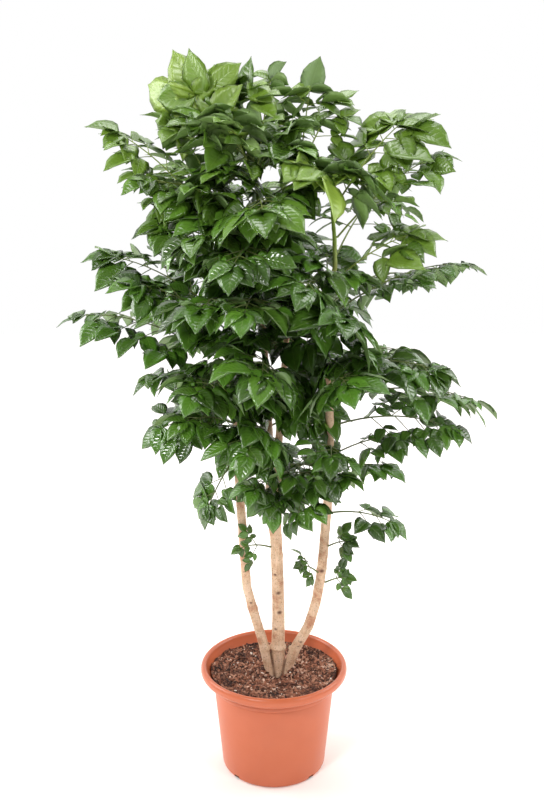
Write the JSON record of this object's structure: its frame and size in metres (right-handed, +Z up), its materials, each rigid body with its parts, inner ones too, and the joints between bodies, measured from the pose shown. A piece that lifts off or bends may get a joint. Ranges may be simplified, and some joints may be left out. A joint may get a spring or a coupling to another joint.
{
  "type": "potted china doll plant",
  "caption": "Tall house plant with slender tan stems and a full crown of glossy compound leaves, in a round terracotta-coloured plastic pot with a rolled rim.",
  "frame": {"origin": "on the pot's axis, on the flat underside that the pot stands on", "axes": "+Z up along the pot's axis, +X to the plant's right as seen from the front, +Y to the back"},
  "size_m": [0.81, 0.66, 1.33],
  "materials": {
    "pot_plastic": "terracotta-coloured moulded polypropylene, satin",
    "potting_mix": "loose moist coir, bark and peat crumbs with white grit",
    "bark": "smooth tan bark with small lenticels, green on the young tops",
    "leaf_green": "glossy quilted leaflets, dark green, yellow-green on the young leaves"
  },
  "bodies": {
    "root": {"pot": "pot_plastic", "soil": "potting_mix", "stems": "bark", "leaf_left_01": "leaf_green", "leaf_left_02": "leaf_green", "leaf_left_03": "leaf_green", "leaf_left_04": "leaf_green", "leaf_left_05": "leaf_green", "leaf_left_06": "leaf_green", "leaf_left_07": "leaf_green", "leaf_left_08": "leaf_green", "leaf_left_09": "leaf_green", "leaf_left_10": "leaf_green", "leaf_left_11": "leaf_green", "leaf_left_12": "leaf_green", "leaf_left_13": "leaf_green", "leaf_left_14": "leaf_green", "leaf_left_15": "leaf_green", "leaf_left_16": "leaf_green", "leaf_left_17": "leaf_green", "leaf_left_18": "leaf_green", "leaf_centre_left_01": "leaf_green", "leaf_centre_left_02": "leaf_green", "leaf_centre_left_03": "leaf_green", "leaf_centre_left_04": "leaf_green", "leaf_centre_left_05": "leaf_green", "leaf_centre_left_06": "leaf_green", "leaf_centre_left_07": "leaf_green", "leaf_centre_left_08": "leaf_green", "leaf_centre_left_09": "leaf_green", "leaf_centre_right_01": "leaf_green", "leaf_centre_right_02": "leaf_green", "leaf_centre_right_03": "leaf_green", "leaf_centre_right_04": "leaf_green", "leaf_centre_right_05": "leaf_green", "leaf_centre_right_06": "leaf_green", "leaf_centre_right_07": "leaf_green", "leaf_centre_right_08": "leaf_green", "leaf_right_01": "leaf_green", "leaf_right_02": "leaf_green", "leaf_right_03": "leaf_green", "leaf_right_04": "leaf_green", "leaf_right_05": "leaf_green", "leaf_right_06": "leaf_green", "leaf_right_07": "leaf_green", "leaf_right_08": "leaf_green", "leaf_right_09": "leaf_green", "leaf_right_10": "leaf_green", "leaf_right_11": "leaf_green", "leaf_right_12": "leaf_green", "leaf_right_13": "leaf_green", "leaf_right_14": "leaf_green", "leaf_right_15": "leaf_green", "leaf_right_16": "leaf_green", "leaf_right_17": "leaf_green", "leaf_right_18": "leaf_green", "sprout_centre_01": "leaf_green", "sprout_right_01": "leaf_green", "sprout_right_02": "leaf_green", "sprout_right_03": "leaf_green"}
  },
  "joints": []
}
